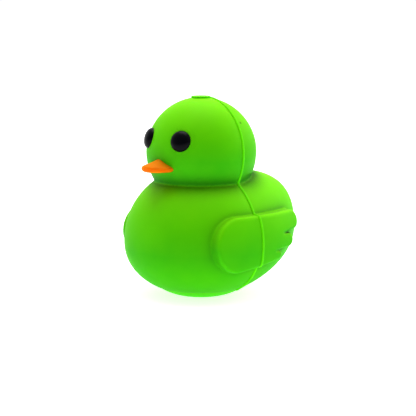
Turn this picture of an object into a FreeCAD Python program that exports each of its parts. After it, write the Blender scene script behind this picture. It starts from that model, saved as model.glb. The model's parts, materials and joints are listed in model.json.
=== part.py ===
"""Floating chlorine dispenser in the shape of a duck, in millimetres.

The duck faces -Y and floats on its belly, +Z up. The origin is on the dispenser's axis, at the flat foot
it stands on. The hull is a front and a back half with a sealing strip between them. A closed-top tablet cup
hangs in the hull, and a twist-off cap with a flow shutter closes it from below.
"""
import FreeCAD, Part
import Sketcher
import math
import os
import re
from FreeCAD import Placement, Rotation, Vector

SIZES = {
    # hull
    "body_radius": 61.0,      # half the body's width, and its depth in front of the axis
    "widest_height": 43.0,    # height of the widest line of the body
    "shoulder_rise": 59.0,    # from the widest line to where the body would close at the top
    "belly_power": 2.2,       # 2 is an ellipse, more is a fuller belly
    "tail_reach": 82.4,       # from the seam to the rump
    "tail_waist": 53.6,       # height of the rump's furthest point
    "tail_top": 97.3,         # height of the back
    "head_radius": 43.0,
    "head_height": 113.0,     # height of the head's centre
    "wall": 2.4,
    "seam": 6.5,              # the halves meet this far behind the axis
    "strip_width": 2.2,
    "strip_proud": 0.8,
    "wing_half": 21.4,        # half the wing's height
    "wing_relief": 4.5,
    # face
    "eye_radius": 8.2,
    "bill_half": 13.8,
    "bill_reach": 55.8,       # from the axis to the bill's tip
    "bill_drop": 10.0,        # from the head's centre down to the bill
    "bill_thick": 3.3,        # half its thickness
    "bill_ridge": 6.6,        # rise of the bill's top against the face, and about half its width
    "peg_side": 7.0,          # the bill's two pegs, to each side of its middle
    "peg_radius": 2.2,
    "nut_radius": 4.6,        # push nuts on those pegs
    "stem_radius": 2.5,       # stem of an eye
    # dispenser
    "cup_radius": 28.0,       # inside: three 25.4 mm tablets lie side by side
    "cup_wall": 2.5,
    "cup_top": 72.0,
    "thread_lead": 16.0,      # fall of the cap in one turn
    "thread_depth": 1.6,
    "foot_radius": 20.0,      # flat foot under the cap
    "window_inner": 11.0,     # water windows, from here out to just inside the foot's edge
    "vent_bore": 0.9,
    "tube_bore": 2.5,
    "tube_radius": 4.0,
    "plug_radius": 7.5,       # crown plug
    "plug_seat": 1.8,         # depth of the step it sits on
    "boss_radius": 4.6,       # screw bosses of the front half
    "well_radius": 4.2,       # screw wells of the rear half
    "play": 0.4,              # radial gap between the cap and the cup
}

# Sizes that follow from the ones above, as text so that the document keeps the link.
DERIVED = {
    "cup_outside": "cup_radius + cup_wall",
    "skirt_radius": "cup_radius + thread_depth",
    "bore_radius": "skirt_radius + play",
    "mouth_radius": "cup_radius + 6.4",
    "hole_radius": "mouth_radius + 0.6",
    # height of the belly line above the foot at the mouth
    "belly": "widest_height * (1 - (1 - (mouth_radius / body_radius) ^ belly_power) ^ (1 / belly_power))",
    "rim_top": "belly + 1.6",
    "mouth_floor": "rim_top + 1.0",
    "seat": "mouth_floor + 2.5",
    "flange_low": "seat + 1.0",
    "flange_top": "flange_low + 2.5",
    "shelf": "flange_top + 2.5",
    "mouth_top": "mouth_floor + 7.0",
    "cap_floor": "2.6",
    "shutter_top": "cap_floor + 1.8",
    "grid_low": "cap_floor + 2.6",
    "grid_top": "grid_low + 2.0",
    "ballast_inner": "mouth_radius + 2.1",
    "ballast_outer": "mouth_radius + 11.0",
    "ballast_top": "shelf + 7.5",
    "screw_side": "cup_outside + 9.5",
    "screw_height": "widest_height + 15",
    "ear_side": "head_radius * 0.63",
    "ear_height": "head_height - 5",
    "crown": "head_height + head_radius",
    "bill_height": "head_height - bill_drop",
    # furthest that a bill nut lies from the head's own axis along Y, and the seat that clears the skin
    "nut_reach": "sqrt(peg_side ^ 2 + bill_drop ^ 2) + nut_radius",
    "bill_seat": "0.4 - sqrt((head_radius - wall) ^ 2 - nut_reach ^ 2)",
    "window_outer": "foot_radius - 0.5",
    "nipple": "tube_bore - 0.05",
    "wing_height": "widest_height + 3.7",
}

ABOUT_Z = Vector(0, 0, 1)
TO_BACK = Rotation(Vector(1, 0, 0), -90)   # turns a solid that rises along Z to run along Y
EYE_TURN = 27.0                            # degrees to each side of the bill
EYE_TILT = 16.0                            # degrees above the head's centre
TWIST = 140.0                              # degrees that free the cap
LUG_SPAN = 50.0                            # degrees that one lug covers
THIRDS = (0, 120, 240)
WINDOW_SPAN = 40.0                         # degrees
LEVEL_POWER = 1.8                          # roundness of the tail in level slices
BACK_POWER = 3.02                          # and of its outline above and below the rump
UNDER_POWER = 1.61
BILL_PLAN_POWER = 2.5                      # roundness of the bill from above and in section
BILL_SECTION_POWER = 2.4
BILL_SIDES = ("-(peg_side)", "peg_side")
CROWN_BOSS = 9.4                           # radius of the thick spot under the crown plug

doc = FreeCAD.newDocument("duck_dispenser")
sheet = doc.addObject("Spreadsheet::Sheet", "Sizes")
for row, (alias, size) in enumerate(SIZES.items(), 1):
    sheet.set(f"A{row}", alias)
    sheet.set(f"B{row}", str(size))
    sheet.setAlias(f"B{row}", alias)
doc.recompute()


def spelled(text):
    """Expression text in which every size name points at its cell."""
    def swap(found):
        word = found[0]
        if word in SIZES:
            return "Sizes." + word
        if word in DERIVED:
            return "(" + spelled(DERIVED[word]) + ")"
        return word
    return re.sub(r"[a-z_]+", swap, str(text))


def number(text):
    return float(sheet.evalExpression(spelled(text)))


def bind(piece, **sizes):
    for name, text in sizes.items():
        piece.setExpression(name, spelled(text))
    return piece


def move(piece, x="0", y="0", z="0", rotation=None):
    if rotation is not None:
        piece.Placement = Placement(Vector(0, 0, 0), rotation)
    for axis, text in zip("xyz", (x, y, z)):
        piece.setExpression("Placement.Base." + axis, spelled(text))
    return piece


# ---- simple solids -------------------------------------------------------------------------------------

def post(name, radius, low, high, x="0", y="0"):
    """Upright cylinder between two heights."""
    piece = doc.addObject("Part::Cylinder", name)
    bind(piece, Radius=radius, Height=f"({high}) - ({low})")
    return move(piece, x, y, low)


def rod(name, radius, front, back, x, z):
    """Cylinder that runs along Y."""
    piece = doc.addObject("Part::Cylinder", name)
    bind(piece, Radius=radius, Height=f"({back}) - ({front})")
    return move(piece, x, front, z, TO_BACK)


def wedge(name, inner, outer, low, high, start, span):
    """Part of a ring, from one angle through another, in degrees."""
    slice_ = post(name + "_slice", outer, low, high)
    slice_.Angle = span
    slice_.Placement = Placement(slice_.Placement.Base, Rotation(ABOUT_Z, start))
    return cut(name, slice_, post(name + "_core", inner, f"{low} - 1", f"{high} + 1"))


def block(name, length, width, height, x, y, z):
    piece = doc.addObject("Part::Box", name)
    bind(piece, Length=length, Width=width, Height=height)
    return move(piece, x, y, z)


def fused(name, *pieces):
    whole = doc.addObject("Part::MultiFuse", name)
    whole.Shapes = list(pieces)
    return whole


def cut(name, base, *tools):
    piece = doc.addObject("Part::Cut", name)
    piece.Base = base
    piece.Tool = tools[0] if len(tools) == 1 else fused(name + "_tools", *tools)
    return piece


def common(name, *pieces):
    shared = doc.addObject("Part::MultiCommon", name)
    shared.Shapes = list(pieces)
    return shared


def group(name, *pieces):
    """Several separate solids under one name."""
    several = doc.addObject("Part::Compound", name)
    several.Links = list(pieces)
    return several


def from_shape(name, shape):
    piece = doc.addObject("Part::Feature", name)
    piece.Shape = shape
    return piece


def turned(name, *path):
    """Body turned about Z. A path point is (r, z), or (r, z, bend_r, bend_z) to reach it by an arc."""
    body = doc.addObject("PartDesign::Body", name)
    sketch = body.newObject("Sketcher::SketchObject", name + "_profile")
    plane = [feature for feature in body.Origin.OriginFeatures if feature.Role == "XZ_Plane"][0]
    sketch.AttachmentSupport = (plane, [""])
    sketch.MapMode = "FlatFace"
    flat = [[Vector(number(r), number(z), 0) for r, z in zip(point[::2], point[1::2])] for point in path]
    for index, point in enumerate(path):
        start = flat[index - 1][0]
        end = flat[index][0]
        if len(point) == 2:
            edge = sketch.addGeometry(Part.LineSegment(start, end), False)
            first, last = 1, 2
        else:
            edge = sketch.addGeometry(Part.Arc(start, flat[index][1], end), False)
            clockwise = (flat[index][1] - start).cross(end - start).z < 0
            first, last = (2, 1) if clockwise else (1, 2)
            bend = sketch.addGeometry(Part.Point(flat[index][1]), True)
            pin_point(sketch, bend, 1, point[2], point[3])
            sketch.addConstraint(Sketcher.Constraint("PointOnObject", bend, 1, edge))
        for end_code, where in ((first, path[index - 1]), (last, point)):
            pin_point(sketch, edge, end_code, where[0], where[1])
    doc.recompute()
    spin = body.newObject("PartDesign::Revolution", name + "_turning")
    spin.Profile = sketch
    spin.ReferenceAxis = (sketch, ["V_Axis"])
    spin.Angle = 360
    body.Tip = spin
    return body


def pin_point(sketch, edge, end_code, across, up):
    """Hold one point of a sketch at two sizes from the sheet."""
    for kind, text in (("DistanceX", across), ("DistanceY", up)):
        index = sketch.addConstraint(Sketcher.Constraint(kind, edge, end_code, number(text)))
        sketch.setExpression(f"Constraints[{index}]", spelled(text))


def flat_ring(name, inner, outer, low, high):
    """Ring with square edges, between two heights."""
    return turned(name, (inner, low), (outer, low), (outer, high), (inner, high))


# ---- hull shapes ---------------------------------------------------------------------------------------

def round_corner(angle, power):
    """Point of a unit superellipse at an angle in radians."""
    across = math.cos(angle)
    up = math.sin(angle)
    scale = (abs(across) ** power + abs(up) ** power) ** (1 / power)
    return across / scale, up / scale


def body_arc(grow, start, end):
    """Outline of the turned body as (curve, points), angles in degrees up from its widest line."""
    width = number("body_radius") + grow
    waist = number("widest_height")
    rise = (number("shoulder_rise") if end > 0 else waist) + grow
    power = 2 if end > 0 else number("belly_power")
    steps = 14
    points = []
    for step in range(steps + 1):
        across, up = round_corner(math.radians(start + (end - start) * step / steps), power)
        points.append(Vector(width * across, 0, waist + rise * up))
    curve = Part.BSplineCurve()
    curve.interpolate(points)
    return curve.toShape(), points


def radius_at(height, grow):
    """Radius of the turned body at a height."""
    waist = number("widest_height")
    above = height > waist
    rise = (number("shoulder_rise") if above else waist) + grow
    power = 2 if above else number("belly_power")
    share = max(0.0, 1 - (abs(height - waist) / rise) ** power)
    return (number("body_radius") + grow) * share ** (1 / power)


def neck_angle(grow):
    """Angle of the body's arc at which the head cuts it, in degrees up from the widest line."""
    head = number("head_radius") + grow
    centre = number("head_height")
    low, high = number("widest_height"), centre
    for _ in range(60):
        middle = (low + high) / 2
        head_at = math.sqrt(max(0, head ** 2 - (middle - centre) ** 2))
        low, high = (middle, high) if radius_at(middle, grow) > head_at else (low, middle)
    rise = (middle - number("widest_height")) / (number("shoulder_rise") + grow)
    return math.degrees(math.asin(rise))


def turned_hull(grow):
    """Head and body turned about Z, with the skin moved out by grow."""
    head = number("head_radius") + grow
    centre = number("head_height")
    belly, _ = body_arc(grow, -90, 0)
    chest, above = body_arc(grow, 0, neck_angle(grow))
    top = Vector(0, 0, centre + head)
    side = Vector(head * math.cos(0.3), 0, centre + head * math.sin(0.3))
    skull = Part.Arc(above[-1], side, top).toShape()
    axis = Part.makeLine(top, Vector(0, 0, -grow))
    profile = Part.Face(Part.Wire([belly, chest, skull, axis]))
    return profile.revolve(Vector(0, 0, 0), ABOUT_Z, 360)


def tail_block(grow):
    """Body behind the seam: level slices are half superellipses, and so is their reach over the height."""
    waist = number("tail_waist")
    seam = number("seam")
    rows = []
    steps = 18
    lowest = -1.35
    for row in range(steps + 1):
        angle = lowest + (math.pi / 2 - lowest) * row / steps
        across, up = round_corner(angle, BACK_POWER if angle > 0 else UNDER_POWER)
        height = waist + up * ((number("tail_top") + grow - waist) if angle > 0 else (waist + grow))
        reach = max(0.0, across) * (number("tail_reach") + grow)
        half = math.sqrt(radius_at(height, grow) ** 2 - seam ** 2)
        level = []
        for step in range(steps + 1):
            cosine, sine = round_corner(math.pi * step / steps, LEVEL_POWER)
            level.append(Vector(half * cosine, seam + reach * sine, height))
        rows.append(level)
    surface = Part.BSplineSurface()
    surface.interpolate(rows)
    back = surface.toShape()
    ends = [edge for edge in back.Edges if edge.BoundBox.YMax < seam + 0.01]
    sole_curve = min((edge for edge in back.Edges if edge not in ends), key=lambda edge: edge.BoundBox.ZMax)
    sole_line = Part.makeLine(rows[0][-1], rows[0][0])
    front = Part.Face(Part.Wire(Part.sortEdges(ends + [sole_line])[0]))
    sole = Part.Face(Part.Wire(Part.sortEdges([sole_curve, sole_line])[0]))
    skin = Part.makeShell([back, front, sole])
    skin.sewShape()
    solid = Part.Solid(skin)
    if solid.Volume < 0:
        solid.reverse()
    return solid


def tail_hull(grow):
    """Back half of the head with the body behind the seam."""
    head = Part.makeSphere(number("head_radius") + grow, Vector(0, 0, number("head_height")))
    return head.fuse(tail_block(grow))


def wing(name, side, grow="0"):
    """Raised wing, a feathered outline cut to a shallow dome; side is 1 on the left, -1 on the right."""
    half = number("wing_half")
    grown = number(grow)
    middle = number("wing_height")
    front = -12.0
    top = middle + half
    tip = 47.5                               # where the longest feather starts to round off
    path = [
        ((front, top + grown), None),
        ((tip, top + grown), None),
        ((tip, top - 14.6), (tip + 7.3, top - 7.3)),
        ((32.0, middle + 5.6), None),
        ((39.0, middle + 5.1), None),
        ((39.0, middle - 6.1), (44.6, middle - 0.5)),
        ((22.5, middle - 7.1), None),
        ((26.0, middle - 7.6), None),
        ((26.0, middle - 14.9 - grown), (30.2, middle - 11.2)),
        ((front + 2, middle - half - grown), None),
        ((front, top + grown), (front - half, middle)),
    ]
    edges = []
    for index, ((across, up), bend) in enumerate(path[1:], 1):
        start = Vector(0, *path[index - 1][0])
        end = Vector(0, across, up)
        if bend is None:
            edges.append(Part.makeLine(start, end))
        else:
            edges.append(Part.Arc(start, Vector(0, *bend), end).toShape())
    reach = number("body_radius") * 0.5
    plate = Part.Face(Part.Wire(edges)).extrude(Vector(side * (reach + 20), 0, 0))
    plate.translate(Vector(side * reach, 0, 0))
    stretch = FreeCAD.Matrix()
    stretch.scale(number(f"body_radius + wing_relief + {grow}"), 82 + grown, 62 + grown)
    dome = Part.makeSphere(1.0).transformGeometry(stretch)
    dome.translate(Vector(0, 8, middle - 1.7))
    return from_shape(name, plate.common(dome))


def half_space(name, back):
    """Everything on one side of the sealing strip."""
    start = "seam + strip_width / 2" if back else "seam - strip_width / 2 - 200"
    return block(name, "400", "200", "300", "-200", start, "-50")


def seat_ring(name):
    """Step inside the hull on which the cup's flange rests."""
    return turned(
        name,
        ("hole_radius", "0"),
        ("mouth_radius + 14", "0"),
        ("mouth_radius + 14", "shelf"),
        ("mouth_radius + 3.6", "shelf"),
        ("mouth_radius + 3.6", "flange_top"),
        ("mouth_radius + 6.8", "flange_top"),
        ("mouth_radius + 6.8", "seat"),
        ("hole_radius", "seat"),
    )


def hollow(name, inside):
    """The room inside the hull, less the step for the cup."""
    room = cut(name + "_room", inside, seat_ring(name + "_seat"))
    groove = post(name + "_groove", "mouth_radius + 6.8", "seat", "flange_top")
    return fused(name, room, groove, post(name + "_mouth", "hole_radius", "-5", "shelf"))


def rib_ring(name, turns, outside):
    """Ribs that hold the ballast ring down, one at each turn in degrees."""
    ribs = []
    for index, turn in enumerate(turns):
        rib = bind(doc.addObject("Part::Box", f"{name}_{index}"), Length="30", Width="wall", Height="9")
        reach = number("ballast_outer - 4")
        rise = number("ballast_top + 0.4")
        rib.Placement = Placement(Vector(0, 0, 0), Rotation(ABOUT_Z, turn)).multiply(
            Placement(Vector(reach, -number("wall") / 2, rise), Rotation()))
        ribs.append(rib)
    return common(name, fused(name + "_all", *ribs), outside)


SCREW_SPOTS = (
    ("screw_side", "screw_height"),
    ("-(screw_side)", "screw_height"),
    ("ear_side", "ear_height"),
    ("-(ear_side)", "ear_height"),
)


def face_frame(turn, tilt, distance):
    """Placement on the head whose Z axis points straight out; turn is measured from the bill."""
    out = Rotation(Vector(0, 0, 1), turn).multiply(Rotation(Vector(1, 0, 0), 90 - tilt))
    away = out.multVec(Vector(0, 0, distance))
    return Placement(Vector(0, 0, number("head_height")) + away, out)


def on_face(name, radius, length, turn, distance):
    """Cylinder that points out of the head at an eye."""
    piece = doc.addObject("Part::Cylinder", name)
    bind(piece, Radius=radius, Height=length)
    piece.Placement = face_frame(turn, EYE_TILT, number(distance))
    return piece


def crown_boss(name):
    return post(name + "_crown_boss", str(CROWN_BOSS), "crown - 7", "crown - 1")


def crown_holes(name):
    """Step and bore for the crown plug."""
    step = post(name + "_crown_recess", "plug_radius + 0.2", "crown - plug_seat", "crown + 5")
    bore = post(name + "_crown_hole", "tube_radius + 0.1", "crown - 20", "crown")
    return step, bore


def front_shell():
    outside = from_shape("front_outside", turned_hull(0))
    inside = from_shape("front_inside", turned_hull(-number("wall")))
    left = wing("front_wing_left", 1)
    right = wing("front_wing_right", -1)
    skin = common("front_skin", fused("front_whole", outside, left, right), half_space("front_side", False))
    bare = cut("front_bare", skin, hollow("front_hollow", inside))
    bosses = []
    for index, (side, height) in enumerate(SCREW_SPOTS):
        deep = "seam - body_radius * 1.2"
        bosses.append(rod(f"front_boss_{index}", "boss_radius", deep, "seam", side, height))
    for index, side in enumerate(BILL_SIDES):
        bosses.append(rod(f"bill_boss_{index}", "nut_radius + 0.4", "-(head_radius)", "bill_seat", side,
                          "bill_height"))
    kept = common("front_bosses", fused("front_boss_set", *bosses), outside)
    ribs = rib_ring("front_ribs", (-90, -40, -140), outside)
    crown = common("front_crown", crown_boss("front"),
                   half_space("front_reach", False))
    solid = fused("front_joined", bare, kept, ribs, crown)
    holes = []
    for index, (side, height) in enumerate(SCREW_SPOTS):
        holes.append(rod(f"front_pilot_{index}", "1.65", "seam - 15", "seam + 1", side, height))
    for index, side in enumerate(BILL_SIDES):
        bore = "peg_radius + 0.05"
        outer = "-(head_radius) - 5"
        holes.append(rod(f"bill_hole_{index}", bore, outer, "bill_seat + 1.4", side, "bill_height"))
    for index, turn in enumerate((-EYE_TURN, EYE_TURN)):
        holes.append(on_face(f"eye_seat_{index}", "eye_radius + 0.2", "10", turn, "head_radius - 1"))
        holes.append(on_face(f"eye_hole_{index}", "stem_radius + 0.05", "20", turn, "head_radius - 15"))
    holes.extend(crown_holes("front"))
    return cut("front_shell", solid, *holes)


def rear_shell():
    outside = from_shape("rear_outside", tail_hull(0))
    inside = from_shape("rear_inside", tail_hull(-number("wall")))
    left = wing("rear_wing_left", 1)
    right = wing("rear_wing_right", -1)
    skin = common("rear_skin", fused("rear_whole", outside, left, right), half_space("rear_side", True))
    bare = cut("rear_bare", skin, hollow("rear_hollow", inside))
    wells = []
    for index, (side, height) in enumerate(SCREW_SPOTS):
        wells.append(rod(f"rear_boss_{index}", "well_radius + 2", "seam", "seam + 95", side, height))
    kept = common("rear_wells", fused("rear_well_set", *wells), outside)
    ribs = rib_ring("rear_ribs", (90, 40, 140), outside)
    crown = common("rear_crown", crown_boss("rear"),
                   half_space("rear_reach", True))
    solid = fused("rear_joined", bare, kept, ribs, crown)
    holes = []
    for index, (side, height) in enumerate(SCREW_SPOTS):
        holes.append(rod(f"rear_hole_{index}", "1.9", "seam - 1", "seam + 12", side, height))
        holes.append(rod(f"rear_well_{index}", "well_radius", "seam + 5.5", "seam + 100", side, height))
    holes.extend(crown_holes("rear"))
    return cut("rear_shell", solid, *holes)


def seam_gasket():
    """Sealing strip between the halves, standing a little proud all round."""
    proud = number("strip_proud")
    outside = from_shape("strip_outside", turned_hull(proud))
    inside = from_shape("strip_inside", turned_hull(-number("wall")))
    left = wing("strip_wing_left", 1, "strip_proud")
    right = wing("strip_wing_right", -1, "strip_proud")
    layer = block("strip_layer", "400", "strip_width", "300", "-200", "seam - strip_width / 2", "-50")
    slab = common("strip_slab", fused("strip_whole", outside, left, right), layer)
    bare = cut("strip_bare", slab, hollow("strip_hollow", inside))
    crown = common("strip_crown", crown_boss("strip"), layer)
    return cut("seam_gasket", fused("strip_joined", bare, crown), *crown_holes("strip"))


def bill_block():
    """Flat rounded bill with a raised middle that climbs to the face."""
    half = number("bill_half")
    reach = number("bill_reach")
    root = number("head_radius") - 9
    level = number("bill_height")
    peak = number("bill_ridge")
    rings = []
    rows = 9
    points_round = 40
    for row in range(rows):
        wide, forward = round_corner(math.pi / 2 * row / rows, BILL_PLAN_POWER)
        along = root + (reach - root) * forward
        nearness = (reach - along) / (reach - root)
        ring = []
        for step in range(points_round):
            across, up = round_corner(2 * math.pi * step / points_round, BILL_SECTION_POWER)
            side = half * wide * across
            rise = peak * nearness ** 1.2 * math.exp(-(side / peak) ** 2) if up > 0 else 0.0
            thick = number("bill_thick") * wide ** 0.45
            ring.append(Vector(side, -along, level + up * (thick + rise)))
        curve = Part.BSplineCurve()
        curve.interpolate(ring, PeriodicFlag=True)
        rings.append(Part.Wire(curve.toShape()))
    rings.append(Part.Vertex(0, -reach, level))
    return Part.makeLoft(rings, True, False)


def beak():
    bill = from_shape("bill", bill_block())
    head = doc.addObject("Part::Sphere", "bill_head")
    bind(head, Radius="head_radius")
    move(head, z="head_height")
    pegs = []
    for index, side in enumerate(BILL_SIDES):
        pegs.append(rod(f"bill_peg_{index}", "peg_radius", "-(head_radius) - 3", "bill_seat + 2", side,
                        "bill_height"))
    return fused("beak", cut("bill_trimmed", bill, head), *pegs)


def eye(name, turn):
    """Domed button on a stem."""
    button = turned(
        name,
        ("0", "-9"),
        ("stem_radius", "-9"),
        ("stem_radius", "0"),
        ("eye_radius", "0"),
        ("eye_radius", "0.7"),
        ("0.5", "4.6", "eye_radius * 0.63", "3.3"),
        ("0", "4.6"),
    )
    button.Placement = face_frame(turn, EYE_TILT, number("head_radius") - 1)
    return button


def push_nut(name, outer, bore, thick):
    return flat_ring(name, bore, outer, "0", thick)


def eye_nuts():
    nuts = []
    for index, turn in enumerate((-EYE_TURN, EYE_TURN)):
        nut = push_nut(f"eye_nut_{index}", "5.4", "stem_radius + 0.02", "0.8")
        nut.Placement = face_frame(turn, EYE_TILT, number("head_radius - wall") - 1.3)
        nuts.append(nut)
    return group("eye_nuts", *nuts)


def beak_nuts():
    nuts = []
    for index, side in enumerate(BILL_SIDES):
        nut = push_nut(f"beak_nut_{index}", "nut_radius", "peg_radius + 0.02", "0.8")
        nuts.append(move(nut, side, "bill_seat", "bill_height", TO_BACK))
    return group("beak_nuts", *nuts)


def crown_plug():
    """Press-in plug with a breathing hole and a nipple for the tube."""
    return turned(
        "crown_plug",
        ("vent_bore", "crown - 18"),
        ("nipple", "crown - 18"),
        ("nipple", "crown - 8"),
        ("tube_radius", "crown - 8"),
        ("tube_radius", "crown - plug_seat"),
        ("plug_radius", "crown - plug_seat"),
        ("plug_radius", "crown + 0.2"),
        ("plug_radius - 0.6", "crown + 0.7", "plug_radius - 0.15", "crown + 0.55"),
        ("vent_bore", "crown + 0.8"),
    )


def vent_tube():
    """Soft tube from the cup's nipple up to the one on the crown plug."""
    low = "cup_top + 1"
    high = "crown - 8.2"
    return flat_ring("vent_tube", "tube_bore", "tube_radius", low, high)


def tube_clips():
    clips = []
    for index, low in enumerate(("cup_top + 4", "crown - 14")):
        high = f"{low} + 3"
        bore = "tube_radius + 0.02"
        edge = "tube_radius + 1.2"
        clips.append(flat_ring(f"tube_clip_{index}", bore, edge, low, high))
    return group("tube_clips", *clips)


def helix_bar(inner, outer, low, high, start, span):
    """Bar that climbs round the Z axis at the thread's lead, angles in degrees."""
    lead = number("thread_lead")
    path = Part.makeHelix(lead, lead * span / 360, (inner + outer) / 2)
    corners = (Vector(inner, 0, low), Vector(outer, 0, low), Vector(outer, 0, high), Vector(inner, 0, high))
    path.translate(Vector(0, 0, low))
    bar = Part.Wire(path.Edges).makePipeShell([Part.makePolygon(corners + corners[:1])], True, True)
    bar.rotate(Vector(0, 0, 0), ABOUT_Z, start)
    return bar


def tablet_cup():
    """Closed-top chamber with the flange that the hull grips and three lug tracks in its mouth."""
    round_cup = turned(
        "cup_turned",
        ("bore_radius", "mouth_floor"),
        ("mouth_radius", "mouth_floor"),
        ("mouth_radius", "flange_low"),
        ("mouth_radius + 6.6", "flange_low"),
        ("mouth_radius + 6.6", "flange_top"),
        ("mouth_radius", "flange_top"),
        ("mouth_radius", "mouth_top + 2"),
        ("cup_outside", "mouth_top + 7"),
        ("cup_outside", "cup_top - 6"),
        ("cup_outside - 6", "cup_top", "cup_outside - 1.76", "cup_top - 1.76"),
        ("tube_radius + 0.2", "cup_top"),
        ("tube_radius + 0.2", "cup_top + 0.8"),
        ("nipple", "cup_top + 0.8"),
        ("nipple", "cup_top + 11"),
        ("vent_bore", "cup_top + 11"),
        ("vent_bore", "cup_top - cup_wall"),
        ("cup_radius - 3.5", "cup_top - cup_wall"),
        ("cup_radius", "cup_top - 6", "cup_radius - 1.03", "cup_top - 3.53"),
        ("cup_radius", "mouth_top"),
        ("bore_radius", "mouth_top"),
    )
    bore = number("bore_radius")
    low = number("mouth_floor") + 1.3
    tracks = []
    for index, start in enumerate(THIRDS):
        travel = TWIST + 8
        fall = number("thread_lead") * travel / 360
        track = helix_bar(bore - 0.6, bore + number("thread_depth"), low - fall, low + 3.0 - fall,
                          start - travel, travel + LUG_SPAN + 1.5)
        tracks.append(from_shape(f"cup_track_{index}", track))
    return cut("tablet_cup", round_cup, *tracks)


def cup_gasket():
    return flat_ring("cup_gasket", "hole_radius + 1", "mouth_radius + 6", "seat", "flange_low")


def ballast_ring():
    return turned(
        "ballast_ring",
        ("ballast_inner", "shelf"),
        ("ballast_outer - 1.6", "shelf"),
        ("ballast_outer", "shelf + 2"),
        ("ballast_outer", "ballast_top"),
        ("ballast_inner", "ballast_top"),
    )


def shell_screws():
    screws = []
    for index, (side, height) in enumerate(SCREW_SPOTS):
        screw = turned(
            f"shell_screw_{index}",
            ("0", "-13"),
            ("1.6", "-12"),
            ("1.6", "5.5"),
            ("3.2", "5.5"),
            ("3.2", "7.2"),
            ("1", "8"),
            ("0", "8"),
        )
        screws.append(move(screw, side, "seam", height, TO_BACK))
    return group("shell_screws", *screws)


def screw_plugs():
    """Soft plugs pressed into the screw wells and moulded flush with the skin."""
    outside = from_shape("plug_outside", tail_hull(0))
    plugs = []
    for index, (side, height) in enumerate(SCREW_SPOTS):
        depth = "seam + 15" if height == "ear_height" else "seam + tail_reach * 0.54"
        plug = rod(f"screw_plug_{index}", "well_radius - 0.05", depth, "seam + tail_reach", side, height)
        plugs.append(common(f"screw_plug_flush_{index}", plug, outside))
    return group("screw_plugs", *plugs)


def thirds(name, build):
    """Three copies of a cutter or lug round the axis, as one object."""
    return fused(name, *[build(f"{name}_{turn}", turn) for turn in THIRDS])


def sectors(name, inner, outer, low, high, span):
    """Three ring sectors, each centred on one of the thirds."""
    return thirds(name, lambda part, turn: wedge(part, inner, outer, low, high, turn - span / 2, span))


def grid_posts(name, radius, low, high):
    """Three small upright cylinders near the edge of the cap's floor, midway between the windows."""
    return thirds(name, lambda part, turn: grid_post(part, radius, low, high, turn + 60))


def base_cap():
    """Dished bottom cap: flat foot, water windows, skirt with three lugs, pivot for the shutter."""
    round_cap = turned(
        "cap_turned",
        ("0", "0"),
        ("foot_radius", "0"),
        ("mouth_radius - 0.2", "belly", "(foot_radius + mouth_radius) / 2", "belly * 0.38"),
        ("mouth_radius - 0.2", "rim_top"),
        ("mouth_radius - 0.6", "rim_top"),
        ("mouth_radius - 0.6", "rim_top - 1"),
        ("mouth_radius - 3.2", "rim_top - 1"),
        ("mouth_radius - 3.2", "rim_top"),
        ("skirt_radius", "rim_top"),
        ("skirt_radius", "mouth_top - 0.4"),
        ("skirt_radius - 2.4", "mouth_top - 0.4"),
        ("skirt_radius - 2.4", "grid_low"),
        ("skirt_radius - 4.4", "grid_low"),
        ("skirt_radius - 4.4", "cap_floor"),
        ("3", "cap_floor"),
        ("3", "shutter_top + 0.2"),
        ("1.1", "shutter_top + 0.2"),
        ("1.1", "0.9"),
        ("0", "0.9"),
    )
    skirt = number("skirt_radius")
    low = number("mouth_floor") + 1.6
    lugs = []
    for index, start in enumerate(THIRDS):
        lug = helix_bar(skirt - 0.5, skirt + number("thread_depth"), low, low + 2.4, start, LUG_SPAN)
        lugs.append(from_shape(f"cap_lug_{index}", lug))
    posts = grid_posts("cap_posts", "2", "cap_floor - 0.2", "grid_low")
    solid = fused("cap_solid", round_cap, posts, *lugs)
    windows = sectors("cap_windows", "window_inner", "window_outer", "-1", "cap_floor + 1", WINDOW_SPAN)
    slot = wedge("cap_slot", "6", "9.2", "-1", "cap_floor + 1", 30, 66)
    holes = grid_posts("cap_holes", "0.95", "0.9", "grid_low + 1")
    return cut("base_cap", solid, windows, slot, holes)


def grid_post(name, radius, low, high, turn):
    """Small upright cylinder near the edge of the cap's floor."""
    piece = post(name, radius, low, high)
    away = "skirt_radius - 5.6"
    return move(piece, f"({away}) * cos({turn})", f"({away}) * sin({turn})", low)


def cap_seal():
    return flat_ring("cap_seal", "mouth_radius - 3.1", "mouth_radius - 0.7", "rim_top - 1", "mouth_floor")


def tablet_grid():
    """Grille that keeps the tablets off the shutter."""
    rim = "skirt_radius - 2.5"
    plate = flat_ring("grid_plate", "6.4", rim, "grid_low", "grid_top")
    gaps = sectors("grid_gaps", "9", "skirt_radius - 5.2", "grid_low - 1", "grid_top + 1", 84)
    bar = flat_ring("grid_bar", "16.4", "18", "grid_low", "grid_top")
    holes = grid_posts("grid_holes", "1.1", "grid_low - 1", "grid_top + 1")
    return cut("tablet_grid", fused("grid_solid", cut("grid_open", plate, gaps), bar), holes)


def grid_screws():
    screws = []
    for turn in THIRDS:
        shank = grid_post(f"grid_shank_{turn}", "0.9", "1.1", "grid_top", turn + 60)
        head = grid_post(f"grid_head_{turn}", "1.8", "grid_top", "grid_top + 1.1", turn + 60)
        screws.append(fused(f"grid_screw_{turn}", shank, head))
    return group("grid_screws", *screws)


def shutter_disc():
    """Disc with the same windows as the cap and a finger tab that reaches down through the cap's slot."""
    edge = "skirt_radius - 7.9"
    plate = flat_ring("shutter_plate", "3.05", edge, "cap_floor", "shutter_top")
    tab = wedge("shutter_tab", "6.4", "8.8", "0.5", "cap_floor + 0.5", 33, 14)
    windows = sectors("shutter_windows", "window_inner", "window_outer", "cap_floor - 1", "shutter_top + 1",
                      WINDOW_SPAN)
    return cut("shutter_disc", fused("shutter_solid", plate, tab), windows)


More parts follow.
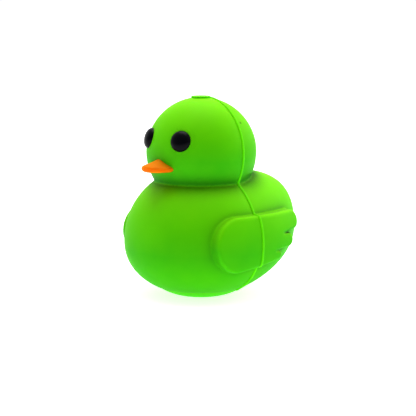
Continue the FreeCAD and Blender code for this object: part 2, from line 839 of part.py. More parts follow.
def shutter_washer():
    low = "shutter_top + 0.2"
    high = "shutter_top + 0.8"
    return flat_ring("shutter_washer", "1.3", "5.6", low, high)


def shutter_screw():
    low = "shutter_top + 0.8"
    return turned(
        "shutter_screw",
        ("0", "1.1"),
        ("1.05", "1.1"),
        ("1.05", low),
        ("3", low),
        ("3", f"{low} + 1.2"),
        ("1.8", f"{low} + 1.8"),
        ("0", f"{low} + 1.8"),
    )


PIECES = (
    front_shell, rear_shell, seam_gasket, beak,
    lambda: eye("eye_left", EYE_TURN), lambda: eye("eye_right", -EYE_TURN),
    eye_nuts, beak_nuts, crown_plug, vent_tube, tube_clips,
    tablet_cup, cup_gasket, ballast_ring, shell_screws, screw_plugs,
    base_cap, cap_seal, tablet_grid, grid_screws, shutter_disc, shutter_washer, shutter_screw,
)


def write_parts():
    pieces = [build() for build in PIECES]
    doc.recompute()
    for thing in doc.Objects:
        if "Invalid" in thing.State or "Error" in thing.State:
            raise RuntimeError(f"{thing.Name}: {thing.State}")
    os.makedirs("parts", exist_ok=True)
    for piece in pieces:
        if piece.Shape.isNull() or not piece.Shape.isValid():
            raise RuntimeError(f"{piece.Label} is not a valid solid")
        piece.Shape.exportStep(f"parts/{piece.Label}.step")
        print(piece.Label, len(piece.Shape.Solids), round(piece.Shape.Volume))


write_parts()
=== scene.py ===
"""Looks of the duck-shaped chlorine dispenser, in metres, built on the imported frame."""
import json
import math

import bmesh
import bpy
import numpy as np
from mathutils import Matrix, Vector


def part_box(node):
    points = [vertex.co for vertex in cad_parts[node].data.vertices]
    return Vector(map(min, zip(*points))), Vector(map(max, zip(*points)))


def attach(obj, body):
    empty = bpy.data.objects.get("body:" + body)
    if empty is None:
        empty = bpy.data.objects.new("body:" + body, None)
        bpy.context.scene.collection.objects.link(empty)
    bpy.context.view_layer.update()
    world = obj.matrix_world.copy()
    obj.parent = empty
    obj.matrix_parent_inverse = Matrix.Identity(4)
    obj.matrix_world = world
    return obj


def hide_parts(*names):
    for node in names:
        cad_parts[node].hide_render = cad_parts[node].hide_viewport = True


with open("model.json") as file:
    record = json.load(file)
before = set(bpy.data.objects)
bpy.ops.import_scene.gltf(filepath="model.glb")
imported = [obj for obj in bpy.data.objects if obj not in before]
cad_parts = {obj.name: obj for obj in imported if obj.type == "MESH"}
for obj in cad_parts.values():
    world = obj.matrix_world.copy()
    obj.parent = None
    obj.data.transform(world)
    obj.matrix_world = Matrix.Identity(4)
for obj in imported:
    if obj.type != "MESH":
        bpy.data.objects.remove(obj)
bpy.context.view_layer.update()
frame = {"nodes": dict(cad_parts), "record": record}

# ---- driving sizes, read off the frame, in millimetres --------------------------------------------------
MM = 0.001


def box_mm(node):
    """Lowest and highest corner of a CAD node, in millimetres."""
    return [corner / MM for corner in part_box(node)]


front_low, front_high = box_mm("front_shell")
strip_low, strip_high = box_mm("seam_gasket")
beak_low, beak_high = box_mm("beak")
rear_high = box_mm("rear_shell")[1]
plug_high = box_mm("crown_plug")[1]
cap_high = box_mm("base_cap")[1]

BODY = -front_low.y                      # half the body's width, and its depth in front of the axis
SEAM = (strip_low.y + strip_high.y) / 2  # the halves meet on this plane
STRIP = strip_high.y - strip_low.y       # width of the sealing strip
PROUD = 0.8                              # how far the strip stands out
CROWN = plug_high.z - PROUD              # top of the head
HEAD = BODY * 43 / 61                    # radius of the head
HEAD_BACK = HEAD + 1.4                   # the back of the head is a little fuller
HEAD_Z = CROWN - HEAD                    # height of the head's middle
WIDEST = BODY * 43 / 61                  # height of the widest line
SHOULDER = BODY * 59 / 61                # rise from there to where the body would close
TAIL = rear_high.y - SEAM                # reach of the rump behind the seam
TAIL_WAIST = BODY * 53.6 / 61            # height of the rump's furthest point
TAIL_TOP = BODY * 97.3 / 61              # height of the back
BACK_POWER = 3.02                        # roundness of the tail's outline above its waist
UNDER_POWER = 1.9                        # and below it
LEVEL_POWER = 1.8                        # roundness of the tail in level slices
BELLY_POWER = 2.2                        # 2 would be an ellipse, more is a fuller belly
WING_X = front_high.x                    # outermost face of a wing
WING_Z = WIDEST + 3.7                    # height of the wing's middle
WING_HALF = 21.4                         # half the wing's height
WING_FRONT = -12                         # middle of the wing's round front lobe
# feather tips as (y, rise from the wing's middle, radius), and the inner ends of the slits between them
FEATHERS = ((47.5, WING_HALF - 7.3, 7.3), (39, -0.5, 5.6), (26, -11.2, 3.7))
SLITS = ((32, 5.6), (22.5, -7.1))
MOUTH = cap_high.x + 0.8                 # radius of the hole that the cap fills
WALL = 2.4                               # thickness of the skin
BOSS = MOUTH + 2                         # round boss that carries the cap under the tail
TAIL_LOW = 7                             # the tail's underside meets the boss at this height
BILL_DROP = 10                           # from the head's centre down to the bill
BILL_THICK = 3.3                         # half the bill's thickness
BILL_RIDGE = 6.6                         # rise of its top against the face, and about half its width
BILL_PLAN_POWER = 2.5                    # roundness of the bill from above
BILL_SECTION_POWER = 2.4                 # and in section
EYE = 8.2                                # radius of an eye
EYE_RISE = 4.6                           # how far an eye stands out
PLUG = 7.5                               # radius of the crown plug
STEM = 4                                 # radius of its stem
EYE_TURN = 27                            # degrees that each eye is turned out from the bill
EYE_TILT = 16                            # degrees that each eye looks up
WELLS = ((40, 58), (27.1, 108))          # screw wells in the rear half, as (x, z) on either side
WELL = 4.2                               # radius of a screw well
MARKS = ((33.8, 11.3, 137.1, 1.3), (51.7, -27.1, 60.1, 1.2))   # moulding marks as (x, y, z, radius)

STEP = 1.0        # spacing of the grid that the skin is drawn from


# ---- distance-like fields on numpy arrays: negative inside, millimetres ---------------------------------

def smooth_min(a, b, blend):
    """Union of two fields with a fillet about as wide as blend."""
    mix = np.clip(0.5 + 0.5 * (b - a) / blend, 0, 1)
    return b + (a - b) * mix - blend * mix * (1 - mix)


def smooth_max(a, b, blend):
    """Intersection of two fields with a rounded edge."""
    return -smooth_min(-a, -b, blend)


def as_distance(field, axes):
    """Scale a field so that it grows by one per millimetre near its surface."""
    slope = np.gradient(field, *axes)
    size = np.sqrt(sum(part ** 2 for part in slope))
    return np.clip(field / np.maximum(size, 1e-6), -12, 12)


def body_field(x, y, z, axes):
    """Body: turned about Z in front of the seam, level half superellipses behind it."""
    upper = z > WIDEST
    height = np.abs(z - WIDEST) / np.where(upper, SHOULDER, WIDEST)
    power = np.where(upper, 2, BELLY_POWER)
    front = as_distance(((np.hypot(x, y) / BODY) ** power + height ** power) ** (1 / power) - 1, axes)
    radius = BODY * np.maximum(1 - height ** power, 0) ** (1 / power)
    spread = np.sqrt(np.maximum(radius ** 2 - SEAM ** 2, 4.0))
    above = np.clip((z - TAIL_WAIST) / (TAIL_TOP - TAIL_WAIST), 0, None)
    below = np.clip((TAIL_WAIST - z) / (TAIL_WAIST - TAIL_LOW), 0, None)
    over = np.maximum(1 - above ** BACK_POWER, 1e-9) ** (1 / BACK_POWER)
    under = np.maximum(1 - below ** UNDER_POWER, 1e-9) ** (1 / UNDER_POWER)
    reach = TAIL * np.maximum(np.where(z > TAIL_WAIST, over, under), 0.03)
    back = np.maximum(y - SEAM, 0)
    rear = ((np.abs(x) / spread) ** LEVEL_POWER + (back / reach) ** LEVEL_POWER) ** (1 / LEVEL_POWER) - 1
    tail = np.maximum(as_distance(rear, axes), np.maximum(z - TAIL_TOP, TAIL_LOW - z))
    boss = np.maximum(front, np.hypot(x, y) - BOSS)
    return np.where(y < SEAM, front, smooth_min(tail, boss, 2))


def arc(centre, radius, start, end, steps=14):
    """Points along an arc, angles in degrees."""
    turns = np.radians(np.linspace(start, end, steps))
    return [(centre[0] + radius * math.cos(turn), centre[1] + radius * math.sin(turn)) for turn in turns]


def wing_outline():
    """Side outline of a wing as (y, z) points: round in front, three feather tips behind."""
    points = arc((WING_FRONT, WING_Z), WING_HALF, 265, 90, 40)
    for index, (y, rise, radius) in enumerate(FEATHERS):
        points += arc((y, WING_Z + rise), radius, 90, -90)
        if index < len(SLITS):
            slit_y, slit_rise = SLITS[index]
            points.append((slit_y, WING_Z + slit_rise))
    return np.array(points)


def polygon_field(points, y, z):
    """Signed distance to a closed outline in the side plane."""
    nearest = np.full(y.shape, 1e9)
    inside = np.zeros(y.shape, bool)
    for (y0, z0), (y1, z1) in zip(points, np.roll(points, -1, axis=0)):
        along = np.clip(((y - y0) * (y1 - y0) + (z - z0) * (z1 - z0))
                        / ((y1 - y0) ** 2 + (z1 - z0) ** 2 + 1e-12), 0, 1)
        nearest = np.minimum(nearest, np.hypot(y - y0 - along * (y1 - y0), z - z0 - along * (z1 - z0)))
        crosses = (z0 > z) != (z1 > z)
        where = y0 + (z - z0) * (y1 - y0) / np.where(z1 == z0, 1, z1 - z0)
        inside ^= crosses & (y < where)
    return np.where(inside, -nearest, nearest)


def wing_field(x, y, z, axes):
    """Both wings: the outline pushed through a shallow dome."""
    side_y, side_z = np.meshgrid(axes[1], axes[2], indexing="ij")
    outline = polygon_field(wing_outline(), side_y, side_z)[None, :, :]
    dome = np.sqrt((x / WING_X) ** 2 + ((y - 6.2) / 93.7) ** 2 + ((z - WING_Z + 1.7) / 62) ** 2) - 1
    plate = smooth_max(np.broadcast_to(outline, x.shape), as_distance(dome, axes), 2.2)
    return np.maximum(plate, BODY * 0.5 - np.abs(x))


def skin_field(axes):
    """Head, body and wings as one field on the grid."""
    x, y, z = np.meshgrid(*axes, indexing="ij")
    depth = np.where(y > 0, y * HEAD / HEAD_BACK, y)
    head = np.sqrt(x ** 2 + depth ** 2 + (z - HEAD_Z) ** 2) - HEAD
    whole = smooth_min(body_field(x, y, z, axes), head, 1.4)
    return smooth_min(whole, wing_field(x, y, z, axes), 1.0)


# ---- from field to mesh ---------------------------------------------------------------------------------

CORNERS = [(i, j, k) for i in (0, 1) for j in (0, 1) for k in (0, 1)]


def sample(field, spots):
    """Field and its slope at fractional grid places, by mixing the eight nearest values."""
    base = np.clip(np.floor(spots).astype(int), 0, np.array(field.shape) - 2)
    part = spots - base
    value = np.zeros(len(spots))
    slope = np.zeros((len(spots), 3))
    for corner in CORNERS:
        at = field[base[:, 0] + corner[0], base[:, 1] + corner[1], base[:, 2] + corner[2]]
        share = [part[:, n] if corner[n] else 1 - part[:, n] for n in range(3)]
        sign = [1 if corner[n] else -1 for n in range(3)]
        value += at * share[0] * share[1] * share[2]
        slope[:, 0] += at * sign[0] * share[1] * share[2]
        slope[:, 1] += at * sign[1] * share[0] * share[2]
        slope[:, 2] += at * sign[2] * share[0] * share[1]
    return value, slope


def net(field):
    """Quads round the zero surface of a field: one point per cell that the surface crosses."""
    inside = field < 0
    near = np.zeros(tuple(n - 1 for n in field.shape), int)
    for i, j, k in CORNERS:
        near += inside[i:i + near.shape[0], j:j + near.shape[1], k:k + near.shape[2]]
    cells = np.argwhere((near > 0) & (near < 8))
    number = np.full(near.shape, -1)
    number[tuple(cells.T)] = np.arange(len(cells))
    total = np.zeros((len(cells), 3))
    count = np.zeros(len(cells))
    for first in CORNERS:
        for axis in range(3):
            if first[axis]:
                continue
            second = tuple(1 if n == axis else first[n] for n in range(3))
            a = field[tuple((cells + first).T)]
            b = field[tuple((cells + second).T)]
            crossed = (a < 0) != (b < 0)
            place = np.tile(np.array(first, float), (len(cells), 1))
            place[:, axis] = np.where(crossed, a / np.where(a == b, 1, a - b), 0)
            total += place * crossed[:, None]
            count += crossed
    points = cells + total / count[:, None]
    quads = []
    for axis in range(3):
        left = [slice(None)] * 3
        right = [slice(None)] * 3
        left[axis] = slice(0, -1)
        right[axis] = slice(1, None)
        change = inside[tuple(left)] != inside[tuple(right)]
        edges = np.argwhere(change)
        one, two = [n for n in range(3) if n != axis]
        edges = edges[(edges[:, one] > 0) & (edges[:, two] > 0)]
        edges = edges[(edges[:, one] < near.shape[one]) & (edges[:, two] < near.shape[two])]
        loop = []
        for down_one, down_two in ((1, 1), (0, 1), (0, 0), (1, 0)):
            cell = edges.copy()
            cell[:, one] -= down_one
            cell[:, two] -= down_two
            loop.append(number[tuple(cell.T)])
        loop = np.stack(loop, axis=1)
        starts_inside = inside[tuple(edges.T)]
        flip = starts_inside if axis == 1 else ~starts_inside
        loop[flip] = loop[flip][:, ::-1]
        quads.append(loop)
    for _ in range(4):                      # slide the points onto the surface
        value, slope = sample(field, points)
        points -= slope * (value / np.maximum((slope ** 2).sum(axis=1), 1e-9))[:, None]
    return points, np.concatenate(quads)


def mesh_object(name, points, faces):
    """Smooth-shaded object from points in millimetres."""
    mesh = bpy.data.meshes.new(name)
    mesh.from_pydata((np.asarray(points) * MM).tolist(), [], [tuple(face) for face in faces])
    mesh.polygons.foreach_set("use_smooth", [True] * len(mesh.polygons))
    thing = bpy.data.objects.new(name, mesh)
    bpy.context.scene.collection.objects.link(thing)
    return thing


def lattice(rows, columns):
    """Faces of a grid of points whose columns close on themselves."""
    faces = []
    for u in range(rows - 1):
        for v in range(columns):
            u1 = u + 1
            v1 = (v + 1) % columns
            faces.append((u * columns + v, u * columns + v1, u1 * columns + v1, u1 * columns + v))
    return faces


def make_skin():
    """Grid, field and mesh of the whole skin."""
    margin = 3 * STEP
    axes = [
        np.arange(-WING_X - margin, WING_X + margin + STEP, STEP),
        np.arange(-BODY - margin, SEAM + TAIL + margin + STEP, STEP),
        np.arange(-margin, CROWN + margin + STEP, STEP),
    ]
    field = skin_field(axes)
    points, quads = net(field)
    origin = np.array([axis[0] for axis in axes])
    return axes, field, points * STEP + origin, quads


def slide(spots, axis):
    """Move points along one axis until they lie on the skin."""
    for _ in range(4):
        value, slope = sample(skin, (spots - [values[0] for values in axes]) / STEP)
        spots[:, axis] -= value / slope[:, axis] * STEP
    return spots


def drill(shape, x, z):
    """Round hole through the rear skin along Y, its rim slid back onto the skin."""
    def across(vert):
        return math.hypot(vert.co.x / MM - x, vert.co.z / MM - z)

    gone = [vert for vert in shape.verts if across(vert) < WELL]
    bmesh.ops.delete(shape, geom=gone, context="VERTS")
    rim = [vert for vert in shape.verts if vert.is_boundary and across(vert) < WELL + 2 * STEP]
    spots = np.array([(vert.co.x / MM, vert.co.y / MM, vert.co.z / MM) for vert in rim])
    away = spots[:, [0, 2]] - (x, z)
    away *= WELL / np.linalg.norm(away, axis=1)[:, None]
    spots[:, [0, 2]] = away + (x, z)
    for vert, spot in zip(rim, slide(spots, 1)):
        vert.co = Vector(spot) * MM


def open_mouth(shape, plane):
    """Round hole for the cap, its rim slid back onto the skin."""
    low = [vert for vert in shape.verts
           if math.hypot(vert.co.x, vert.co.y) < MOUTH * MM and vert.co.z < WIDEST * MM]
    bmesh.ops.delete(shape, geom=low, context="VERTS")
    rim = [vert for vert in shape.verts
           if vert.is_boundary and vert.co.z < WIDEST * 0.4 * MM and abs(vert.co.y - plane * MM) > 1e-6]
    spots = np.array([tuple(vert.co / MM) for vert in rim])
    spots[:, :2] *= MOUTH / np.linalg.norm(spots[:, :2], axis=1)[:, None]
    for vert, spot in zip(rim, slide(spots, 2)):
        vert.co = Vector(spot) * MM


def half_shell(name, points, quads, plane, behind):
    """One half of the skin, cut clean at the strip, with its holes and its wall."""
    whole = mesh_object(name, points, quads)
    shape = bmesh.new()
    shape.from_mesh(whole.data)
    everything = list(shape.verts) + list(shape.edges) + list(shape.faces)
    bmesh.ops.bisect_plane(shape, geom=everything, plane_co=(0, plane * MM, 0), plane_no=(0, 1, 0),
                           clear_outer=not behind, clear_inner=behind)
    open_mouth(shape, plane)
    if behind:
        for x, z in WELLS:
            drill(shape, x, z)
            drill(shape, -x, z)
    shape.to_mesh(whole.data)
    shape.free()
    wall = whole.modifiers.new("wall", "SOLIDIFY")
    wall.thickness = WALL * MM
    wall.offset = -1
    return whole


axes, skin, skin_points, skin_quads = make_skin()
front = half_shell("front_skin", skin_points, skin_quads, SEAM - STRIP / 2 + 0.3, False)
rear = half_shell("rear_skin", skin_points, skin_quads, SEAM + STRIP / 2 - 0.3, True)
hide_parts("front_shell")
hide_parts("rear_shell")
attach(front, "hull")
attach(rear, "hull")


# ---- strip, bill, eyes and plug -------------------------------------------------------------------------

def seam_outline():
    """Outline of the skin in the seam's plane, as (x, z) points found along rays from the body's middle."""
    level = (SEAM - axes[1][0]) / STEP
    middle = 60
    gap = 0.25
    turns = np.radians(np.linspace(-90, 270, 1440, endpoint=False))
    spans = np.arange(20, 105, gap)
    x = np.outer(np.cos(turns), spans)
    z = middle + np.outer(np.sin(turns), spans)
    spots = np.stack([(x - axes[0][0]) / STEP, np.full(x.shape, level), (z - axes[2][0]) / STEP], axis=-1)
    values, _ = sample(skin, spots.reshape(-1, 3))
    values = values.reshape(x.shape)
    last = values.shape[1] - 1 - np.argmax((values < 0)[:, ::-1], axis=1)
    last = np.minimum(last, len(spans) - 2)
    rows = np.arange(len(turns))
    a = values[rows, last]
    b = values[rows, last + 1]
    reach = spans[last] + gap * np.clip(a / (a - b), 0, 1)
    return np.stack([np.cos(turns) * reach, middle + np.sin(turns) * reach], axis=1)


def even_spacing(points, gap):
    """Closed outline with its points the same distance apart."""
    loop = np.vstack([points, points[:1]])
    along = np.concatenate([[0], np.cumsum(np.linalg.norm(np.diff(loop, axis=0), axis=1))])
    places = np.linspace(0, along[-1], int(along[-1] / gap), endpoint=False)
    return np.stack([np.interp(places, along, loop[:, n]) for n in range(2)], axis=1)


def make_strip():
    """Half-round bead swept round the seam, cut off at the mouth."""
    outline = even_spacing(seam_outline(), 0.8)
    for _ in range(2):
        outline = 0.5 * outline + 0.25 * (np.roll(outline, 1, axis=0) + np.roll(outline, -1, axis=0))
    tangent = np.roll(outline, -1, axis=0) - np.roll(outline, 1, axis=0)
    outward = np.stack([tangent[:, 1], -tangent[:, 0]], axis=1)
    outward /= np.linalg.norm(outward, axis=1)[:, None]
    start = np.argmin(outline[:, 1] + 1e-3 * outline[:, 0])
    order = np.roll(np.arange(len(outline)), -start)
    keep = [n for n in order if not (abs(outline[n, 0]) < MOUTH and outline[n, 1] < WIDEST * 0.5)]
    half_round = [(-1, 0), (-0.93, 0.42), (-0.72, 0.72), (-0.4, 0.93)]
    mirrored = [(-across, out) for across, out in reversed(half_round)]
    profile = [(-1, -WALL)] + half_round + [(0, 1.0)] + mirrored + [(1, -WALL)]
    points = []
    for n in keep:
        for across, out in profile:
            rise = out * PROUD if out > 0 else out
            spot = outline[n] + outward[n] * rise
            points.append((spot[0], SEAM + across * (STRIP / 2 + 0.05), spot[1]))
    columns = len(profile)
    faces = lattice(len(keep), columns)
    faces.append(tuple(range(columns)))
    faces.append(tuple(range((len(keep) - 1) * columns + columns - 1, (len(keep) - 1) * columns - 1, -1)))
    return mesh_object("seam_bead", points, faces)


def lathe(name, path, steps=96):
    """Solid of turning from (r, z) points; the first and last lie on the axis."""
    points = [(0, 0, path[0][1])]
    for radius, height in path[1:-1]:
        for step in range(steps):
            turn = 2 * math.pi * step / steps
            points.append((radius * math.cos(turn), radius * math.sin(turn), height))
    points.append((0, 0, path[-1][1]))
    rings = len(path) - 2
    faces = [(0, 1 + (s + 1) % steps, 1 + s) for s in range(steps)]
    for ring in range(rings - 1):
        for s in range(steps):
            a = 1 + ring * steps + s
            b = 1 + ring * steps + (s + 1) % steps
            faces.append((a, b, b + steps, a + steps))
    last = 1 + (rings - 1) * steps
    end = len(points) - 1
    faces += [(last + s, last + (s + 1) % steps, end) for s in range(steps)]
    return mesh_object(name, points, faces)


def make_eye(name, side):
    """Domed button with a rounded rim, facing out of the head."""
    path = [(0, -1.2), (EYE - 0.5, -1.2), (EYE - 0.1, -0.8), (EYE, 0.2)]
    for step in range(1, 15):
        turn = math.radians(90 * step / 15)
        path.append((EYE * math.cos(turn) ** 0.82, 0.2 + (EYE_RISE - 0.2) * math.sin(turn) ** 1.12))
    path.append((0, EYE_RISE))
    eye = lathe(name, path)
    eye.rotation_euler = (math.radians(90 - EYE_TILT), 0, math.radians(side * EYE_TURN))
    bpy.context.view_layer.update()
    away = eye.matrix_world.to_3x3() @ Vector((0, 0, (HEAD - 1) * MM))
    eye.location = Vector((0, 0, HEAD_Z * MM)) + away
    return eye


def superellipse(turn, power):
    """Point of a unit superellipse at an angle in radians."""
    across = math.cos(turn)
    up = math.sin(turn)
    scale = (abs(across) ** power + abs(up) ** power) ** (1 / power)
    return across / scale, up / scale


def make_beak():
    """Flat rounded bill whose top climbs to a soft peak against the face."""
    half = (beak_high.x - beak_low.x) / 2
    tip = -beak_low.y
    root = HEAD - 8
    level = HEAD_Z - BILL_DROP
    rows = 44
    columns = 96
    points = []
    for row in range(rows + 1):
        wide, forward = superellipse(math.pi / 2 * row / rows, BILL_PLAN_POWER)
        along = root + (tip - root) * forward
        nearness = (tip - along) / (tip - root)
        for column in range(columns):
            across, up = superellipse(2 * math.pi * column / columns, BILL_SECTION_POWER)
            side = half * wide * across
            ridge = BILL_RIDGE * nearness ** 1.2 * math.exp(-(side / BILL_RIDGE) ** 2) if up > 0 else 0
            thick = BILL_THICK * wide ** 0.45
            points.append((side, -along, level + up * (thick + ridge)))
    faces = lattice(rows + 1, columns)
    faces.append(tuple(range(columns - 1, -1, -1)))
    return mesh_object("bill", points, faces)


def make_plug():
    """Round disc on the crown with a soft edge and a breathing hole."""
    top = CROWN + PROUD
    seat = CROWN - 1.8
    stem = [(0, CROWN - 8), (STEM, CROWN - 8), (STEM, seat)]
    rounded = [(PLUG, top - 0.5), (PLUG - 0.12, top - 0.18), (PLUG - 0.45, top)]
    edge = [(PLUG - 0.2, seat), (PLUG, seat + 0.3)] + rounded
    hole = [(1.3, top), (1.0, top - 0.25), (0.95, top - 3), (0, top - 3)]
    return lathe("plug", stem + edge + hole)


def point_outward(thing):
    """Make every face of a closed mesh look outward."""
    shape = bmesh.new()
    shape.from_mesh(thing.data)
    bmesh.ops.recalc_face_normals(shape, faces=shape.faces)
    shape.to_mesh(thing.data)
    shape.free()


bead = make_strip()
bill = make_beak()
eye_left = make_eye("button_left", 1)
eye_right = make_eye("button_right", -1)
plug = make_plug()
for thing, node in ((bead, "seam_gasket"), (bill, "beak"), (eye_left, "eye_left"), (eye_right, "eye_right"),
                    (plug, "crown_plug")):
    point_outward(thing)
    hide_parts(node)
    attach(thing, "hull")


# ---- materials ------------------------------------------------------------------------------------------

def linear(red, green, blue):
    """Linear colour from 0-255 screen values."""
    parts = []
    for level in (red, green, blue):
        share = level / 255
        parts.append(share / 12.92 if level <= 10 else ((share + 0.055) / 1.055) ** 2.4)
    return tuple(parts) + (1,)


def grain(tree, scale, detail, low, high):
    """Noise in the object's own metres, mapped between two values."""
    place = tree.nodes.new("ShaderNodeTexCoord")
    noise = tree.nodes.new("ShaderNodeTexNoise")
    noise.inputs["Scale"].default_value = scale
    noise.inputs["Detail"].default_value = detail
    spread = tree.nodes.new("ShaderNodeMapRange")
    spread.inputs["To Min"].default_value = low
    spread.inputs["To Max"].default_value = high
    tree.links.new(place.outputs["Object"], noise.inputs["Vector"])
    tree.links.new(noise.outputs["Fac"], spread.inputs["Value"])
    return spread.outputs["Result"]


def mixed(tree, factor, one, other):
    """Blend of two colours or colour outputs by a factor output."""
    blend = tree.nodes.new("ShaderNodeMix")
    blend.data_type = "RGBA"
    tree.links.new(factor, blend.inputs["Factor"])
    for name, colour in (("A", one), ("B", other)):
        if isinstance(colour, tuple):
            blend.inputs[name].default_value = colour
        else:
            tree.links.new(colour, blend.inputs[name])
    return blend.outputs["Result"]


def ranged(tree, value, from_low, from_high, to_low, to_high):
    """Value mapped from one range to another and held at its ends."""
    spread = tree.nodes.new("ShaderNodeMapRange")
    spread.inputs["From Min"].default_value = from_low
    spread.inputs["From Max"].default_value = from_high
    spread.inputs["To Min"].default_value = to_low
    spread.inputs["To Max"].default_value = to_high
    tree.links.new(value, spread.inputs["Value"])
    return spread.outputs["Result"]


def roughen(tree, shader, fine, strength):
    """Fine relief of a fifth of a millimetre in depth at most."""
    relief = tree.nodes.new("ShaderNodeBump")
    relief.inputs["Strength"].default_value = strength
    relief.inputs["Distance"].default_value = 0.2 * MM
    tree.links.new(grain(tree, fine, 4, 0, 1), relief.inputs["Height"])
    tree.links.new(relief.outputs["Normal"], shader.inputs["Normal"])


def marked(tree, spot, radius):
    """Strength of a small round mark at a place in millimetres, zero outside it."""
    place = tree.nodes.new("ShaderNodeTexCoord")
    gap = tree.nodes.new("ShaderNodeVectorMath")
    gap.operation = "DISTANCE"
    gap.inputs[1].default_value = [part * MM for part in spot]
    tree.links.new(place.outputs["Object"], gap.inputs[0])
    return ranged(tree, gap.outputs["Value"], radius * 0.4 * MM, radius * MM, 0.6, 0.0)


def vinyl(name, painted_shade_and_mark_colour, plain, painted_lit_and_worn_colour, glow):
    """Translucent coloured vinyl with painted light and shade: darker in creases as painted shade, lighter
    where the skin faces up as painted light, lighter on worn edges, dark at the moulding marks.
    """
    look = bpy.data.materials.new(name)
    look.use_nodes = True
    tree = look.node_tree
    shader = tree.nodes["Principled BSDF"]
    around = tree.nodes.new("ShaderNodeNewGeometry")
    facing = tree.nodes.new("ShaderNodeSeparateXYZ")
    tree.links.new(around.outputs["Normal"], facing.inputs["Vector"])
    # painted light: the colour turns lighter where the skin's normal points up, standing in for light from
    # above
    painted_toplight = ranged(tree, facing.outputs["Z"], -0.1, 1.0, 0.0, 1.0)
    # painted shade: ambient occlusion turns the colour darker in creases and hollows of the same object,
    # standing in for shade
    hidden = tree.nodes.new("ShaderNodeAmbientOcclusion")
    hidden.inputs["Distance"].default_value = 0.02
    hidden.only_local = True
    hidden.samples = 16
    crease = ranged(tree, hidden.outputs["AO"], 0.55, 0.98, 1.0, 0.0)
    mottled = mixed(tree, grain(tree, 30, 3, 0.0, 0.35), linear(*plain), linear(*painted_lit_and_worn_colour))
    with_painted_toplight = mixed(tree, painted_toplight, mottled, linear(*painted_lit_and_worn_colour))
    with_painted_shade = mixed(tree, crease, with_painted_toplight, linear(*painted_shade_and_mark_colour))
    worn = ranged(tree, around.outputs["Pointiness"], 0.53, 0.62, 0.0, 0.5)
    colour = mixed(tree, worn, with_painted_shade, linear(*painted_lit_and_worn_colour))
    for x, y, z, radius in MARKS:
        colour = mixed(tree, marked(tree, (x, y, z), radius), colour, linear(*painted_shade_and_mark_colour))
    tree.links.new(colour, shader.inputs["Base Color"])
    tree.links.new(grain(tree, 260, 5, 0.44, 0.62), shader.inputs["Roughness"])
    shader.inputs["Specular IOR Level"].default_value = 0.1
    roughen(tree, shader, 900, 0.12)
    shader.inputs["Subsurface Weight"].default_value = glow
    shader.inputs["Subsurface Radius"].default_value = (0.4, 1.0, 0.05)
    shader.inputs["Subsurface Scale"].default_value = 0.003
    return look


def moulded(name, dark, light, rough, fine, bump, glow=0.0, metal=0.0, shine=0.5):
    """Moulded or turned surface: two tones mixed by slow noise, uneven gloss, fine relief, worn edges."""
    look = bpy.data.materials.new(name)
    look.use_nodes = True
    tree = look.node_tree
    shader = tree.nodes["Principled BSDF"]
    tone = mixed(tree, grain(tree, 28, 3, 0.25, 0.75), linear(*dark), linear(*light))
    edge = tree.nodes.new("ShaderNodeNewGeometry")
    worn = ranged(tree, edge.outputs["Pointiness"], 0.52, 0.62, 0.0, 0.35)
    tree.links.new(mixed(tree, worn, tone, linear(*light)), shader.inputs["Base Color"])
    tree.links.new(grain(tree, fine * 0.4, 5, rough * 0.85, rough * 1.2), shader.inputs["Roughness"])
    roughen(tree, shader, fine, bump)
    shader.inputs["Metallic"].default_value = metal
    shader.inputs["Specular IOR Level"].default_value = shine
    if glow:
        shader.inputs["Subsurface Weight"].default_value = glow
        shader.inputs["Subsurface Radius"].default_value = (0.35, 1.0, 0.06)
        shader.inputs["Subsurface Scale"].default_value = 0.006
    return look


# vinyl colours are given as painted shade and mark colour, plain colour, then painted light, mottle and
# worn-edge colour
LOOKS = {
    "green_skin": vinyl("green_skin", (0, 84, 1), (54, 184, 1), (144, 239, 1), 0.2),
    "green_strip": vinyl("green_strip", (60, 190, 1), (100, 222, 2), (136, 242, 4), 0.2),
    "green_plug": vinyl("green_plug", (20, 150, 1), (84, 208, 1), (126, 236, 2), 0.2),
    "orange": vinyl("orange", (236, 84, 0), (255, 126, 0), (255, 152, 2), 0.3),
    "black": moulded("black", (3, 4, 12), (6, 8, 18), 0.3, 700, 0.05, shine=0.15),
    "steel": moulded("steel", (150, 152, 155), (196, 198, 200), 0.28, 1500, 0.15, metal=1.0),
    "clear_rubber": moulded("clear_rubber", (206, 210, 206), (226, 230, 226), 0.35, 800, 0.05, glow=0.4),
    "white_plastic": moulded("white_plastic", (222, 226, 222), (238, 240, 236), 0.5, 1200, 0.15, glow=0.1),
    "grey_rubber": moulded("grey_rubber", (44, 46, 48), (62, 64, 66), 0.6, 1400, 0.2),
    "weight": moulded("weight", (92, 94, 96), (120, 122, 124), 0.55, 1100, 0.4, metal=0.8),
    "green_cap": vinyl("green_cap", (20, 130, 1), (88, 212, 1), (132, 238, 2), 0.1),
    "shutter_white": moulded("shutter_white", (232, 232, 220), (244, 244, 232), 0.45, 1200, 0.15, glow=0.1),
}

for thing, slot in ((front, "green_skin"), (rear, "green_skin"), (bead, "green_strip"), (bill, "orange"),
                    (eye_left, "black"), (eye_right, "black"), (plug, "green_plug")):
    thing.data.materials.clear()
    thing.data.materials.append(LOOKS[slot])

slots = {part["node"]: part["material_slot"] for part in frame["record"]["subparts"]}
for node, thing in frame["nodes"].items():
    thing.data.materials.clear()
    thing.data.materials.append(LOOKS[slots[node]])


# ---- stage, light and camera ----------------------------------------------------------------------------

def make_floor():
    """Pale floor just under the foot."""
    size = 6000
    floor = mesh_object("floor", [(-size, -size, 0), (size, -size, 0), (size, size, 0), (-size, size, 0)],
                        [(0, 1, 2, 3)])
    look = moulded("floor_paint", (226, 226, 226), (234, 234, 234), 0.9, 20, 0.0)
    shader = look.node_tree.nodes["Principled BSDF"]
    shader.inputs["Emission Color"].default_value = (1, 1, 1, 1)
    shader.inputs["Emission Strength"].default_value = 0.75
    shader.inputs["Specular IOR Level"].default_value = 0.0
    floor.data.materials.append(look)
    floor.location.z = -0.0004
    return floor


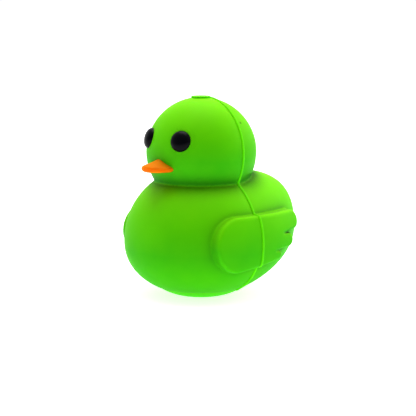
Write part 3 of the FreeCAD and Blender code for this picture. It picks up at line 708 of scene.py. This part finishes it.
def soft_light(name, direction, distance, size, power):
    """Square light that faces the duck's middle."""
    lamp = bpy.data.lights.new(name, "AREA")
    lamp.size = size
    lamp.energy = power
    thing = bpy.data.objects.new(name, lamp)
    way = Vector(direction).normalized()
    thing.location = Vector((0, 0, 0.08)) + way * distance
    thing.rotation_mode = "QUATERNION"
    thing.rotation_quaternion = way.to_track_quat("Z", "Y")
    bpy.context.scene.collection.objects.link(thing)


def studio_world(toward, dim, side, overhead):
    """White studio: plain white behind the duck, dimmer light from where toward points, more from above."""
    world = bpy.data.worlds.new("studio")
    world.use_nodes = True
    tree = world.node_tree
    light = tree.nodes["Background"]
    place = tree.nodes.new("ShaderNodeTexCoord")
    along = tree.nodes.new("ShaderNodeVectorMath")
    along.operation = "DOT_PRODUCT"
    along.inputs[1].default_value = toward
    tree.links.new(place.outputs["Generated"], along.inputs[0])
    parts = tree.nodes.new("ShaderNodeSeparateXYZ")
    tree.links.new(place.outputs["Generated"], parts.inputs["Vector"])
    near = ranged(tree, along.outputs["Value"], -0.5, 0.8, side, dim)
    top = ranged(tree, parts.outputs["Z"], 0.1, 1.0, 0.0, overhead)
    total = tree.nodes.new("ShaderNodeMath")
    total.operation = "ADD"
    tree.links.new(near, total.inputs[0])
    tree.links.new(top, total.inputs[1])
    tree.links.new(total.outputs["Value"], light.inputs["Strength"])
    plain = tree.nodes.new("ShaderNodeBackground")
    path = tree.nodes.new("ShaderNodeLightPath")
    seen = tree.nodes.new("ShaderNodeMixShader")
    tree.links.new(path.outputs["Is Camera Ray"], seen.inputs["Fac"])
    tree.links.new(light.outputs["Background"], seen.inputs[1])
    tree.links.new(plain.outputs["Background"], seen.inputs[2])
    plain.inputs["Color"].default_value = (1, 1, 1, 1)
    plain.inputs["Strength"].default_value = 1.05
    light.inputs["Color"].default_value = (1, 1, 1, 1)
    tree.links.new(seen.outputs["Shader"], tree.nodes["World Output"].inputs["Surface"])
    bpy.context.scene.world = world


make_floor()
bpy.context.scene.view_settings.view_transform = "Standard"
bpy.context.scene.view_settings.gamma = 0.8

TURN = math.radians(49)                  # the camera stands this far round from the duck's face
TILT = math.radians(8.3)                 # and this far up
back = Vector((math.sin(TURN) * math.cos(TILT), -math.cos(TURN) * math.cos(TILT), math.sin(TILT)))
right = Vector((math.cos(TURN), math.sin(TURN), 0))

studio_world(back, 0.06, 0.95, 0.45)
soft_light("overhead", (-0.1, 0.1, 1), 0.9, 0.7, 4.5)
soft_light("flank", right * 0.9 - back * 0.35 + Vector((0, 0, 0.45)), 0.8, 0.5, 1.3)

camera_data = bpy.data.cameras.new("camera")
camera = bpy.data.objects.new("camera", camera_data)
bpy.context.scene.collection.objects.link(camera)
bpy.context.scene.camera = camera
DISTANCE = 1.1
WIDTH_SEEN = 0.330                       # metres across the picture at the duck
SENSOR = 36
camera_data.sensor_width = SENSOR
camera_data.lens = SENSOR * DISTANCE / WIDTH_SEEN
aim = Vector((0, 0, 0.068)) + right * 0.0056
camera.location = aim + back * DISTANCE
camera.rotation_mode = "QUATERNION"
camera.rotation_quaternion = back.to_track_quat("Z", "Y")
